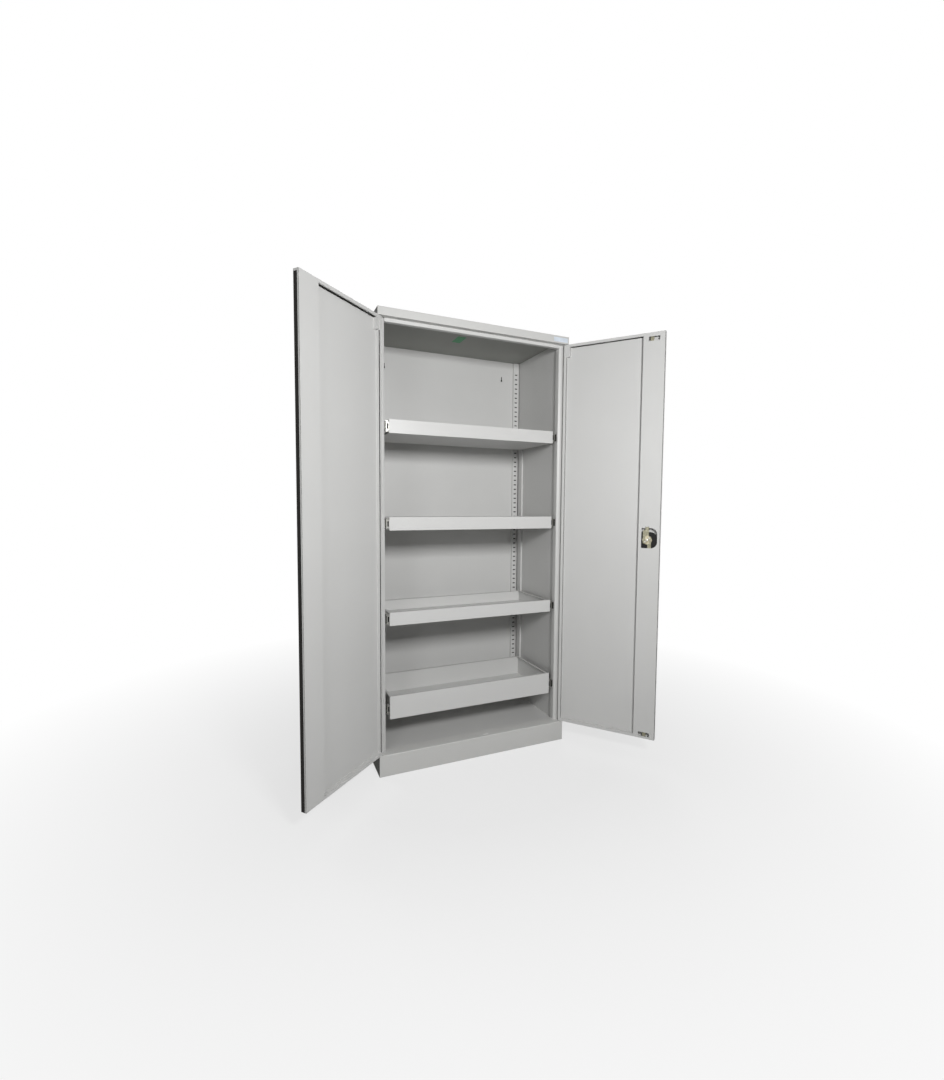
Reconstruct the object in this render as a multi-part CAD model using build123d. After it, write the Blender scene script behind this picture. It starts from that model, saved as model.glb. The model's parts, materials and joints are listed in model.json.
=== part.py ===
"""Two-door steel safety cabinet with four pull-out trays on telescopic slides.

The origin is at floor level, midway between the sides, the front and the back.
X runs to the right as the front is faced, Y runs into the cabinet, Z runs up.
The doors are drawn shut and then swung open to the angles at which they stand.
"""

import os
from math import cos, radians, sin

from build123d import *

# Cabinet size
WIDTH = 910.0
DEPTH = 465.0
HEIGHT = 1950.0
SHEET = 1.5
LINER_SHEET = 1.2
FIT_GAP = 0.1

# Levels of the fixed front
PLINTH_TOP = 93.0
PLINTH_SHELF = 62.0
FASCIA_BOTTOM = 1916.0
FRAME_SETBACK = 28.0
STILE_FACE = 24.0
STILE_BEVEL = 5.5
STILE_RETURN = 30.0
OPENING_HALF = 421.5
OPENING_TOP = 1902.0

# Inside of the compartment
LINER_HALF = 430.0
BACK_LINER_Y = 211.5
LINER_SETBACK = 63.0
CEILING = 1933.6
FLOOR = 88.0
KEYHOLE_X = 324.0
KEYHOLE_Z = 1833.0
KEYHOLE_POCKET = (30.0, 44.0)
BOARD_BOTTOM = 32.0
BOARD_GAP = 0.5
BASE_LEG = 22.0
BASE_UPSTAND = 30.0

# Doors
DOOR_DEPTH = 22.0
DOOR_GAP = 3.0
DOOR_BOTTOM = 95.0
DOOR_TOP = 1914.0
DOOR_RIM = 12.0
LOCK_BOX_WIDTH = 92.5
RECESS_FLOOR = 2.8
EDGE_SEAL = 1.5
HINGE_INSET = 7.5
HINGE_SETBACK = 12.8
LEFT_DOOR_OPEN = 138.6
RIGHT_DOOR_OPEN = 129.0

# Hinge pins and bushes
PIN_RADIUS = 3.45
BUSH_BORE = 3.5
BUSH_SIDE = 8.8
BUSH_LENGTH = 30.0
PIN_REACH = 31.0
PIN_COLLAR_SIDE = 10.0
COLLAR_HEIGHT = 1.7

# Door lock
LOCK_X = 57.0
LOCK_Z = 1004.5
DISH_CENTRE = (49.3, 1003.0)
DISH_WIDTH = 66.0
DISH_HEIGHT = 72.0
DISH_DEPTH = 12.5
DISH_WALL = 2.0
DISH_FLANGE = 6.0
LOCK_WINDOW = (67.5, 90.0)
LOCK_WINDOW_CENTRE = (47.5, 1013.0)
ROD_END_SLOT = (47.0, 19.0)
ROD_END_SLOT_X = 48.5
ROD_END_SLOT_LEVELS = (114.0, 1886.5)
GRIP_RADIUS = 13.0
GRIP_BAR = (42.0, 13.0)
CYLINDER_RADIUS = 5.0
PLUG_RADIUS = 3.5
SPINDLE_RADIUS = 6.0
SPINDLE_SQUARE = 7.0
CAM_LAYER = 12.9
CAM_THICKNESS = 2.5
CAM_RADIUS = 20.0
CAM_BOSS_RADIUS = 8.0
CAM_BOSS_BACK = 21.0
CAM_PIN_RADIUS = 2.6
CAM_PIN_BACK = 20.0
CAM_PIN_ORBIT = 12.0
CAM_HALF_TURN = 45.0
CAM_SCREW_RADIUS = 5.0
CAM_SCREW_BACK = 23.4
ROD_WIDTH = 15.0
ROD_THICKNESS = 2.5
ROD_LAYER = 16.9
ROD_SHOULDER = 20.0
ROD_BRIDGE = 24.0
ROD_LENGTH = 886.5
ROD_FOOT_REACH = 17.5
UPPER_ROD_X = LOCK_X
LOWER_ROD_X = LOCK_X - ROD_FOOT_REACH + ROD_WIDTH / 2
ROD_GUIDES = ((LOWER_ROD_X, 200.0), (LOWER_ROD_X, 560.0), (UPPER_ROD_X, 1440.0), (UPPER_ROD_X, 1850.0))
ROD_GUIDE_BACK = 20.4

# Trays
TRAY_HALF = 400.0
TRAY_FRONT_SETBACK = 41.3
TRAY_DEPTH = 318.0
TRAY_PITCH = 409.0
LOWEST_TRAY_BOTTOM = 228.0
LOW_FRONT = 57.0
HIGH_FRONT = 100.0
LOW_FRONT_SLIDE = 28.0
HIGH_FRONT_SLIDE = 45.0
TRAY_SHEET = 1.2
TRAY_TOP_FLANGE = 8.0

# Telescopic slides
SLIDE_LENGTH = 350.0
SLIDE_HEIGHT = 45.0
SLIDE_THICKNESS = 12.7
SLIDE_SHEET = 1.2

# Uprights
RAIL_PITCH = 25.0
BACK_RAIL_X = 409.0
BACK_RAIL_WIDTH = 32.0
BACK_RAIL_DEPTH = 10.0
BACK_RAIL_SLOT = (14.0, 6.0)
SLIDE_POST_FRONT = 149.5
SLIDE_POST_WIDTH = 36.0
SLIDE_POST_TOP = 1515.0
SLIDE_POST_SLOT = (12.0, 6.0)

FRONT = -DEPTH / 2
BACK = DEPTH / 2
HALF = WIDTH / 2
BACK_SKIN_Y = BACK - 2 * SHEET - 1
FRAME_Y = FRONT + FRAME_SETBACK
LINER_FRONT = FRONT + LINER_SETBACK
HINGE_X = HALF - HINGE_INSET
HINGE_Y = FRONT + HINGE_SETBACK
PAN_HALF = HALF - SHEET
FREE_EDGE = DOOR_GAP / 2
PAN_EDGE = FREE_EDGE + EDGE_SEAL
TRAY_FRONT = FRONT + TRAY_FRONT_SETBACK
TRAY_BACK = TRAY_FRONT + TRAY_DEPTH
SLIDE_FRONT = TRAY_FRONT + 3.0

parts = {}


def block(x, y, z):
    """A cuboid between the two values given for each axis, in either order."""
    size = [abs(high - low) for low, high in (x, y, z)]
    centre = [(high + low) / 2 for low, high in (x, y, z)]
    return Pos(*centre) * Box(*size)


def folded_outline(points, thickness, bend):
    """Face of a folded sheet: the points run along its outer side, the metal lies to their left.

    With a bend of 0 the corners stay sharp."""
    way = [(points[i + 1] - points[i]).normalized() for i in range(len(points) - 1)]
    left = [Vector(-d.Y, d.X) for d in way]
    inner = [points[0] + left[0] * thickness]
    outer_radii = []
    inner_radii = []
    for i in range(1, len(points) - 1):
        turn = way[i - 1].X * way[i].Y - way[i - 1].Y * way[i].X
        bisector = (left[i - 1] + left[i]).normalized()
        inner.append(points[i] + bisector * (thickness / bisector.dot(left[i])))
        outer_radii.append(bend + thickness if turn > 0 else bend)
        inner_radii.append(bend if turn > 0 else bend + thickness)
    inner.append(points[-1] + left[-1] * thickness)
    if bend == 0:
        return make_face(Polyline(*points, *reversed(inner), close=True))
    outer_side = FilletPolyline(*points, radius=outer_radii)
    inner_side = FilletPolyline(*inner, radius=inner_radii)
    ends = [Line(points[0], inner[0]), Line(points[-1], inner[-1])]
    return make_face(outer_side.edges() + inner_side.edges() + ends)


def vertical_sheet(points, bottom, top, thickness=SHEET, bend=1.0):
    """A folded sheet whose outline is seen from above."""
    outline = folded_outline([Vector(*p) for p in points], thickness, bend)
    return Pos(0, 0, bottom) * extrude(outline, amount=top - bottom, dir=(0, 0, 1))


def cross_sheet(points, half_length, thickness=SHEET, bend=1.0):
    """A folded sheet whose outline in Y and Z runs across the cabinet."""
    outline = Plane.YZ * folded_outline([Vector(*p) for p in points], thickness, bend)
    return Pos(-half_length, 0, 0) * extrude(outline, amount=2 * half_length, dir=(1, 0, 0))


def mirrored(shape):
    """The same piece on the left of the cabinet."""
    return mirror(shape, about=Plane.YZ)


def both_sides(name, shape):
    """Add a right-hand piece and its mirror image as two sub-parts."""
    parts[name + "_right"] = shape
    parts[name + "_left"] = mirrored(shape)


def group(shapes):
    """Several separate solids in one sub-part."""
    return Compound(children=[solid for shape in shapes for solid in shape.solids()])


def swung(shape, side):
    """A piece of a shut right-hand door, moved to where the door on that side stands."""
    if side == "right":
        return shape.rotate(Axis((HINGE_X, HINGE_Y, 0), (0, 0, 1)), RIGHT_DOOR_OPEN)
    return mirrored(shape).rotate(Axis((-HINGE_X, HINGE_Y, 0), (0, 0, 1)), -LEFT_DOOR_OPEN)


def upright_cylinder(x, y, bottom, top, radius):
    """A round bar or bore along Z."""
    return Pos(x, y, (bottom + top) / 2) * Cylinder(radius, top - bottom)


def cross_cylinder(x, z, front, back, radius):
    """A round bar or bore along Y."""
    return Pos(x, (front + back) / 2, z) * Rot(90, 0, 0) * Cylinder(radius, back - front)


def tray_sizes():
    """Bottom, front height and slide level of each tray, from the lowest up."""
    sizes = [(LOWEST_TRAY_BOTTOM, HIGH_FRONT, LOWEST_TRAY_BOTTOM + HIGH_FRONT_SLIDE)]
    for i in (1, 2, 3):
        bottom = LOWEST_TRAY_BOTTOM + i * TRAY_PITCH
        sizes.append((bottom, LOW_FRONT, bottom + LOW_FRONT_SLIDE))
    return sizes


def slide_levels():
    """Height of the middle of each slide."""
    return [size[2] for size in tray_sizes()]


def carcass():
    """Outer skins, front frame, liners and the boards between them."""
    ears = block((PAN_HALF, HALF), (FRONT + SHEET, FRAME_Y + SHEET), (0, HEIGHT))
    door_notch = block((PAN_HALF, HALF), (FRONT, FRAME_Y + SHEET), (PLINTH_TOP, FASCIA_BOTTOM))
    rear = [(HALF, FRAME_Y + SHEET), (HALF, BACK), (HALF - 16, BACK)]
    front_fold = [(HALF - 20, FRAME_Y + SHEET), (HALF, FRAME_Y + SHEET), (HALF, FRAME_Y + 30)]
    skin = vertical_sheet(rear, 0, HEIGHT) + (ears - door_notch)
    skin += vertical_sheet(front_fold, PLINTH_TOP + FIT_GAP, FASCIA_BOTTOM - FIT_GAP)
    both_sides("side_skin", skin)

    inner_half = PAN_HALF - FIT_GAP
    parts["back_skin"] = block(
        (-inner_half, inner_half), (BACK_SKIN_Y, BACK_SKIN_Y + SHEET), (SHEET, HEIGHT - SHEET)
    )
    parts["top_skin"] = block(
        (-inner_half, inner_half), (FRONT + 20 + FIT_GAP, BACK_SKIN_Y + SHEET), (HEIGHT - SHEET, HEIGHT)
    )

    stile = [
        (OPENING_HALF, FRAME_Y + STILE_RETURN),
        (OPENING_HALF, FRAME_Y + STILE_BEVEL),
        (HALF - STILE_FACE, FRAME_Y),
        (HALF, FRAME_Y),
    ]
    both_sides("front_stile", vertical_sheet(stile, PLINTH_TOP, FASCIA_BOTTOM))
    rail = [(FRAME_Y, HEIGHT - 12), (FRAME_Y, OPENING_TOP), (FRAME_Y + 20, OPENING_TOP)]
    parts["top_rail"] = cross_sheet(rail, OPENING_HALF - FIT_GAP)

    liner = [(LINER_HALF, BACK_LINER_Y), (LINER_HALF, LINER_FRONT), (HALF - 8, LINER_FRONT)]
    both_sides("side_liner", vertical_sheet(liner, FLOOR - 6, CEILING, LINER_SHEET, bend=0))
    back_liner = block(
        (-HALF + 12, HALF - 12), (BACK_LINER_Y, BACK_LINER_Y + LINER_SHEET), (FLOOR - 6, CEILING)
    )
    keyhole = Rectangle(9, 9) + Pos(0, 11) * Rectangle(5, 20)
    cutter = extrude(Plane.XZ * keyhole, amount=10, dir=(0, 1, 0))
    back_board = block(
        (-LINER_HALF, LINER_HALF),
        (BACK_LINER_Y + LINER_SHEET + BOARD_GAP, BACK_SKIN_Y - BOARD_GAP),
        (BOARD_BOTTOM, CEILING),
    )
    for x in (-KEYHOLE_X, KEYHOLE_X):
        back_liner -= Pos(x, BACK_LINER_Y - 5, KEYHOLE_Z) * cutter
        back_board -= Pos(x, BACK_LINER_Y, KEYHOLE_Z + 6) * Box(KEYHOLE_POCKET[0], 40, KEYHOLE_POCKET[1])
    parts["back_liner"] = back_liner
    parts["back_board"] = back_board
    parts["ceiling_liner"] = block(
        (-HALF + 8, HALF - 8),
        (FRAME_Y + SHEET, BACK_LINER_Y + LINER_SHEET),
        (CEILING, CEILING + LINER_SHEET),
    )
    floor_pan = [
        (FRONT + PLINTH_SHELF + 1.6, FLOOR - 8),
        (FRONT + PLINTH_SHELF + 1.6, FLOOR),
        (BACK_LINER_Y - FIT_GAP, FLOOR),
        (BACK_LINER_Y - FIT_GAP, FLOOR + 18),
    ]
    parts["floor_pan"] = cross_sheet(floor_pan, LINER_HALF - FIT_GAP, LINER_SHEET, bend=0)

    side_board = block(
        (LINER_HALF + LINER_SHEET + BOARD_GAP, PAN_HALF - BOARD_GAP),
        (LINER_FRONT + 2, BACK_LINER_Y - BOARD_GAP),
        (BOARD_BOTTOM, CEILING - BOARD_GAP),
    )
    both_sides("side_board", side_board)
    parts["top_board"] = block(
        (-PAN_HALF + 2, PAN_HALF - 2),
        (FRAME_Y + 4, BACK_SKIN_Y - BOARD_GAP),
        (CEILING + LINER_SHEET + BOARD_GAP, HEIGHT - SHEET - BOARD_GAP),
    )


def fixed_front():
    """Fascia, plinth and base frame, with the holes for the hinge pins and lock rods."""
    trim = [
        block((side * HALF, side * (HALF - SHEET - FIT_GAP)), (FRONT + SHEET, FRONT + 80), (-1, HEIGHT + 1))
        for side in (-1, 1)
    ]
    rod_y = FRONT + ROD_LAYER + ROD_THICKNESS / 2
    rod_slot = Pos(0, rod_y, 0) * Box(28, 6, 6)

    fascia = [(FRONT + 20, HEIGHT), (FRONT, HEIGHT), (FRONT, FASCIA_BOTTOM), (FRAME_Y - 0.2, FASCIA_BOTTOM)]
    upper_slot = Pos(UPPER_ROD_X, 0, FASCIA_BOTTOM) * rod_slot
    parts["fascia"] = cross_sheet(fascia, HALF) - trim - upper_slot

    plinth = [
        (FRONT + PLINTH_SHELF, PLINTH_TOP - 8),
        (FRONT + PLINTH_SHELF, PLINTH_TOP),
        (FRONT, PLINTH_TOP),
        (FRONT, 0),
        (FRONT + 20, 0),
    ]
    lower_slot = Pos(LOWER_ROD_X, 0, PLINTH_TOP) * rod_slot
    parts["plinth"] = cross_sheet(plinth, HALF, bend=1.5) - trim - lower_slot

    ring_front = FRONT + 20 + FIT_GAP
    ring_back = BACK_SKIN_Y - FIT_GAP
    ring_half = PAN_HALF - FIT_GAP
    ring = block((-ring_half, ring_half), (ring_front, ring_back), (0, BASE_UPSTAND))
    for inset, bottom in ((BASE_LEG, -1), (SHEET, SHEET)):
        ring -= block(
            (-ring_half + inset, ring_half - inset),
            (ring_front + inset, ring_back - inset),
            (bottom, BASE_UPSTAND + 1),
        )
    parts["base_frame"] = ring

    pins = []
    for side in (-1, 1):
        x = side * HINGE_X
        upper = upright_cylinder(x, HINGE_Y, FASCIA_BOTTOM - PIN_REACH, FASCIA_BOTTOM, PIN_RADIUS)
        lower = upright_cylinder(x, HINGE_Y, PLINTH_TOP, PLINTH_TOP + PIN_REACH, PIN_RADIUS)
        collar = Box(PIN_COLLAR_SIDE, PIN_COLLAR_SIDE, COLLAR_HEIGHT)
        lower += Pos(x, HINGE_Y, PLINTH_TOP + COLLAR_HEIGHT / 2) * collar
        pins += [upper, lower]
    parts["hinge_pins"] = group(pins)


def perforated_rail(width, depth, bottom, top, slot, rows):
    """A channel that stands upright, its web towards -Y and centred on X = 0, with a slot in each row."""
    half = width / 2
    points = [(-half, depth), (-half, 0), (half, 0), (half, depth)]
    rail = vertical_sheet(points, bottom, top, bend=0)
    cutter = block((-slot[0] / 2, slot[0] / 2), (-1, SHEET + 1), (-slot[1] / 2, slot[1] / 2))
    return rail - [Pos(0, 0, z) * cutter for z in rows]


def uprights():
    """Slotted shelf rails on the back wall and slotted posts that carry the slides."""
    bottom, top = FLOOR + 20, CEILING - 1
    count = int((top - bottom) / RAIL_PITCH) - 2
    rows = [bottom + (i + 1.5) * RAIL_PITCH for i in range(count)]
    rail = perforated_rail(BACK_RAIL_WIDTH, BACK_RAIL_DEPTH, bottom, top, BACK_RAIL_SLOT, rows)
    both_sides("back_rail", Pos(BACK_RAIL_X, BACK_LINER_Y - BACK_RAIL_DEPTH, 0) * rail)

    rows = [z + step * RAIL_PITCH for z in slide_levels() for step in (-1.5, -0.5, 0.5, 1.5)]
    depth = LINER_HALF - OPENING_HALF
    post = perforated_rail(SLIDE_POST_WIDTH, depth, FLOOR + 3, SLIDE_POST_TOP, SLIDE_POST_SLOT, rows)
    centre = SLIDE_POST_FRONT + SLIDE_POST_WIDTH / 2
    both_sides("slide_post", Pos(OPENING_HALF, centre, 0) * Rot(0, 0, -90) * post)


def door_shell(has_lock):
    """Pan and liner of a shut right-hand door."""
    pan = block((PAN_EDGE, HALF - SHEET), (FRONT, FRONT + DOOR_DEPTH), (DOOR_BOTTOM, DOOR_TOP))
    pan = fillet(pan.edges().filter_by(Axis.Z).sort_by(Axis.Y)[:2], 1.4)
    hollow = block(
        (PAN_EDGE + SHEET, HALF - 2 * SHEET),
        (FRONT + SHEET, FRONT + DOOR_DEPTH + 1),
        (DOOR_BOTTOM + SHEET, DOOR_TOP - SHEET),
    )
    pan -= hollow
    bush_half = BUSH_SIDE / 2 + FIT_GAP / 2
    pan -= block(
        (HINGE_X - bush_half, HINGE_X + bush_half), (HINGE_Y - bush_half, HINGE_Y + bush_half), (0, HEIGHT)
    )

    edge = SHEET + FIT_GAP
    low_x, high_x = PAN_EDGE + edge, HALF - SHEET - edge
    low_z, high_z = DOOR_BOTTOM + edge, DOOR_TOP - edge
    back_y = FRONT + DOOR_DEPTH
    recess_x = (FREE_EDGE + LOCK_BOX_WIDTH, HALF - SHEET - DOOR_RIM)
    recess_z = (DOOR_BOTTOM + DOOR_RIM, DOOR_TOP - DOOR_RIM)
    liner = block((low_x, high_x), (FRONT + SHEET + FIT_GAP, back_y), (low_z, high_z))
    liner -= block(recess_x, (FRONT + RECESS_FLOOR, back_y), recess_z)
    behind = block((low_x, high_x), (FRONT + SHEET + FIT_GAP, back_y - LINER_SHEET), (low_z, high_z))
    behind -= block(
        (recess_x[0] - LINER_SHEET, recess_x[1] + LINER_SHEET),
        (FRONT, back_y),
        (recess_z[0] - LINER_SHEET, recess_z[1] + LINER_SHEET),
    )
    liner -= behind

    if has_lock:
        rod_y = FRONT + ROD_LAYER + ROD_THICKNESS / 2
        for x, z in ((UPPER_ROD_X, DOOR_TOP), (LOWER_ROD_X, DOOR_BOTTOM)):
            pan -= Pos(x, rod_y, z) * Box(ROD_WIDTH + 2, ROD_THICKNESS + 2, 10)
        dish_hole = dish_outline(DISH_WIDTH + 0.6, DISH_HEIGHT + 0.6)
        pan -= Pos(DISH_CENTRE[0], FRONT - 1, DISH_CENTRE[1]) * extrude(dish_hole, amount=4, dir=(0, 1, 0))
        window = dish_outline(*LOCK_WINDOW)
        window_x, window_z = LOCK_WINDOW_CENTRE
        notch = Pos(UPPER_ROD_X - window_x, LOCK_WINDOW[1] / 2 + 2) * Rectangle(ROD_WIDTH + 1, 8)
        window += Plane.XZ * notch
        liner -= Pos(window_x, back_y - 3, window_z) * extrude(window, amount=6, dir=(0, 1, 0))
        for level in ROD_END_SLOT_LEVELS:
            liner -= Pos(ROD_END_SLOT_X, back_y, level) * Box(ROD_END_SLOT[0], 6, ROD_END_SLOT[1])
    return pan, liner


def dish_outline(width, height):
    """D-shaped outline in X and Z, with its round side towards the free edge of the door."""
    half_w, half_h = width / 2, height / 2
    sketch = Rectangle(width, height)
    round_side = sketch.vertices().sort_by(Axis.X)[:2]
    sketch = fillet(round_side, half_w * 0.8)
    square_side = [v for v in sketch.vertices() if v.X > half_w - 1 and abs(v.Y) > half_h - 1]
    sketch = fillet(square_side, 5)
    return Plane.XZ * sketch


def doors():
    """Both doors, each with its bushes, edge seal and hinge bracket."""
    for side in ("left", "right"):
        pan, liner = door_shell(side == "right")
        parts[side + "_door_pan"] = swung(pan, side)
        parts[side + "_door_liner"] = swung(liner, side)
        seal_y = (FRONT + 0.5, FRONT + DOOR_DEPTH - 0.5)
        seal = block((FREE_EDGE, PAN_EDGE), seal_y, (DOOR_BOTTOM + 1, DOOR_TOP - 1))
        parts[side + "_door_edge_seal"] = swung(seal, side)
        bushes = []
        for bottom in (DOOR_BOTTOM, DOOR_TOP - BUSH_LENGTH):
            bush = Pos(HINGE_X, HINGE_Y, bottom + BUSH_LENGTH / 2) * Box(BUSH_SIDE, BUSH_SIDE, BUSH_LENGTH)
            bush -= upright_cylinder(HINGE_X, HINGE_Y, bottom - 1, bottom + BUSH_LENGTH + 1, BUSH_BORE)
            bushes.append(bush)
        parts[side + "_door_bushes"] = group([swung(bush, side) for bush in bushes])
        inner_x = HALF - SHEET - DOOR_RIM
        top_z = DOOR_TOP - DOOR_RIM
        bracket = block((inner_x - 16, inner_x), (FRONT + RECESS_FLOOR, FRONT + 20), (top_z - 45, top_z))
        bracket -= block((inner_x - 14.5, inner_x + 1), (FRONT, FRONT + 18.5), (top_z - 43.5, top_z + 1))
        parts[side + "_door_hinge_bracket"] = swung(bracket, side)


def lock_rod(centre, way):
    """A rod in the open position, with the slotted foot that a cam pin drives.

    The rod goes up from the lock where way is 1 and down where it is -1."""
    y = (FRONT + ROD_LAYER, FRONT + ROD_LAYER + ROD_THICKNESS)
    pin_z = LOCK_Z - way * CAM_PIN_ORBIT * sin(radians(CAM_HALF_TURN))
    shoulder = LOCK_Z + way * ROD_SHOULDER
    bridge = shoulder + way * ROD_BRIDGE
    foot_edge = LOCK_X + way * ROD_FOOT_REACH
    half_width = ROD_WIDTH / 2
    rod = block((centre - half_width, centre + half_width), y, (shoulder, shoulder + way * ROD_LENGTH))
    rod += block((foot_edge, LOCK_X + way * (CAM_BOSS_RADIUS + 0.4)), y, (pin_z - way * 7, bridge))
    rod += block((foot_edge, centre), y, (shoulder, bridge))
    slot_half = CAM_PIN_RADIUS + 0.75
    slot_end = LOCK_X + way * (CAM_PIN_ORBIT + slot_half)
    return rod - block((LOCK_X, slot_end), y, (pin_z - slot_half, pin_z + slot_half))


def cross_block(half_x, front, back, half_z):
    """A cuboid centred on the axis of the lock."""
    return block((LOCK_X - half_x, LOCK_X + half_x), (front, back), (LOCK_Z - half_z, LOCK_Z + half_z))


def handle():
    """Dish, turning grip with its key cylinder, and the spindle behind it."""
    dish = extrude(dish_outline(DISH_WIDTH, DISH_HEIGHT), amount=DISH_DEPTH + SHEET, dir=(0, 1, 0))
    flange = dish_outline(DISH_WIDTH + 2 * DISH_FLANGE, DISH_HEIGHT + 2 * DISH_FLANGE)
    dish += extrude(flange, amount=SHEET, dir=(0, 1, 0))
    bowl = dish_outline(DISH_WIDTH - 2 * DISH_WALL, DISH_HEIGHT - 2 * DISH_WALL)
    dish -= Pos(0, -1, 0) * extrude(bowl, amount=DISH_DEPTH + SHEET - DISH_WALL + 1, dir=(0, 1, 0))
    dish = Pos(DISH_CENTRE[0], FRONT - SHEET, DISH_CENTRE[1]) * dish
    dish -= cross_cylinder(LOCK_X, LOCK_Z, FRONT, FRONT + DOOR_DEPTH, SPINDLE_RADIUS + 0.05)
    parts["handle_dish"] = swung(dish, "right")

    grip_back = FRONT + DISH_DEPTH - DISH_WALL - 0.4
    cylinder_back = FRONT + 6
    plug_back = FRONT + 2.6
    grip = cross_cylinder(LOCK_X, LOCK_Z, FRONT - 1, grip_back, GRIP_RADIUS)
    bar = extrude(Plane.XZ * SlotOverall(*GRIP_BAR), amount=11, dir=(0, 1, 0))
    grip += Pos(LOCK_X, FRONT - 3, LOCK_Z) * bar
    grip -= cross_cylinder(LOCK_X, LOCK_Z, FRONT - 5, cylinder_back, CYLINDER_RADIUS)
    parts["turn_grip"] = swung(grip, "right")
    cylinder = cross_cylinder(LOCK_X, LOCK_Z, FRONT - 3.5, cylinder_back, CYLINDER_RADIUS)
    cylinder -= cross_cylinder(LOCK_X, LOCK_Z, FRONT - 5, plug_back + 0.4, PLUG_RADIUS + 0.05)
    parts["lock_cylinder"] = swung(cylinder, "right")
    plug = cross_cylinder(LOCK_X, LOCK_Z, FRONT - 4, plug_back, PLUG_RADIUS)
    plug -= cross_block(0.5, FRONT - 5, FRONT, 2.5)
    parts["key_plug"] = swung(plug, "right")
    spindle = cross_cylinder(LOCK_X, LOCK_Z, grip_back, FRONT + CAM_LAYER, SPINDLE_RADIUS)
    square_half = SPINDLE_SQUARE / 2
    spindle += cross_block(square_half, FRONT + CAM_LAYER, FRONT + CAM_BOSS_BACK, square_half)
    parts["grip_spindle"] = swung(spindle, "right")


def rod_gear():
    """Cam, its screw, the two rods that it drives apart, and their guides."""
    cam_back = FRONT + CAM_LAYER + CAM_THICKNESS
    boss_back = FRONT + CAM_BOSS_BACK
    cam = cross_cylinder(LOCK_X, LOCK_Z, FRONT + CAM_LAYER, cam_back, CAM_RADIUS)
    cam += cross_cylinder(LOCK_X, LOCK_Z, cam_back, boss_back, CAM_BOSS_RADIUS)
    angle = radians(CAM_HALF_TURN)
    for direction in (-1, 1):
        pin_x = LOCK_X + direction * CAM_PIN_ORBIT * cos(angle)
        pin_z = LOCK_Z - direction * CAM_PIN_ORBIT * sin(angle)
        cam += cross_cylinder(pin_x, pin_z, cam_back, FRONT + CAM_PIN_BACK, CAM_PIN_RADIUS)
    hole_half = SPINDLE_SQUARE / 2 + FIT_GAP / 2
    cam -= cross_block(hole_half, FRONT, boss_back + 1, hole_half)
    parts["lock_cam"] = swung(cam, "right")
    screw = cross_cylinder(LOCK_X, LOCK_Z, boss_back, FRONT + CAM_SCREW_BACK, CAM_SCREW_RADIUS)
    parts["cam_screw"] = swung(screw, "right")

    parts["upper_rod"] = swung(lock_rod(UPPER_ROD_X, 1), "right")
    parts["lower_rod"] = swung(lock_rod(LOWER_ROD_X, -1), "right")

    guide = block((-12, 12), (FRONT + SHEET, FRONT + ROD_GUIDE_BACK), (-8, 8))
    guide -= Pos(0, FRONT + ROD_LAYER + ROD_THICKNESS / 2, 0) * Box(ROD_WIDTH + 1, ROD_THICKNESS + 1, 20)
    guides = [Pos(x, 0, level) * guide for x, level in ROD_GUIDES]
    parts["rod_guides"] = group([swung(placed, "right") for placed in guides])


def rolled_profile(lip_x, web_x, top, lip):
    """Upper half of a slide member in X and Z: rolled lip, ball track with cut corners, web."""
    cut = 1.3 if web_x > lip_x else -1.3
    return [
        (lip_x, top - lip),
        (lip_x, top - abs(cut)),
        (lip_x + cut, top),
        (web_x - cut, top),
        (web_x, top - abs(cut)),
    ]


def slide_member(half_profile, length):
    """One member of a slide; the profile gives X and Z from its upper lip to the web."""
    lower = [(x, -z) for x, z in reversed(half_profile)]
    points = [Vector(*p) for p in half_profile + lower]
    web_is_outside = half_profile[-1][0] > half_profile[0][0]
    if web_is_outside:
        points.reverse()
    outline = Plane.XZ * folded_outline(points, SLIDE_SHEET, bend=0)
    member = extrude(outline, amount=length, dir=(0, 1, 0))
    return Pos(TRAY_HALF, SLIDE_FRONT, 0) * member


def trays():
    """Four trays, each on a pair of ball slides with a middle member."""
    top = SLIDE_HEIGHT / 2
    outer_profile = rolled_profile(3.2, SLIDE_THICKNESS, top, 3.6)
    middle_profile = rolled_profile(2.2, 9.8, top - 4.2, 3.6)
    inner_profile = rolled_profile(7, 0, top - 8.4, 3.0)
    outer = slide_member(outer_profile, SLIDE_LENGTH)
    middle = slide_member(middle_profile, SLIDE_LENGTH - 12)
    inner = slide_member(inner_profile, TRAY_DEPTH - 8)
    slide_x = TRAY_HALF + SLIDE_THICKNESS
    bracket = block((slide_x, OPENING_HALF), (0, 14), (-16, 16))
    bracket -= block((slide_x + SHEET, OPENING_HALF + 1), (SHEET, 14 - SHEET), (-17, 17))
    outers = []
    brackets = []
    for i, (bottom, front_height, slide_z) in enumerate(tray_sizes()):
        name = "tray_" + str(4 - i)
        parts[name] = tray(bottom, front_height)
        for member, list_name in ((inner, "_slide_inner"), (middle, "_slide_middle")):
            placed = Pos(0, 0, slide_z) * member
            parts[name + list_name] = group([placed, mirrored(placed)])
        placed = Pos(0, 0, slide_z) * outer
        outers += [placed, mirrored(placed)]
        for y in (FRAME_Y + 14, SLIDE_POST_FRONT):
            placed = Pos(0, y, slide_z) * bracket
            brackets += [placed, mirrored(placed)]
    parts["slide_outers"] = group(outers)
    parts["slide_brackets"] = group(brackets)


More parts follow.
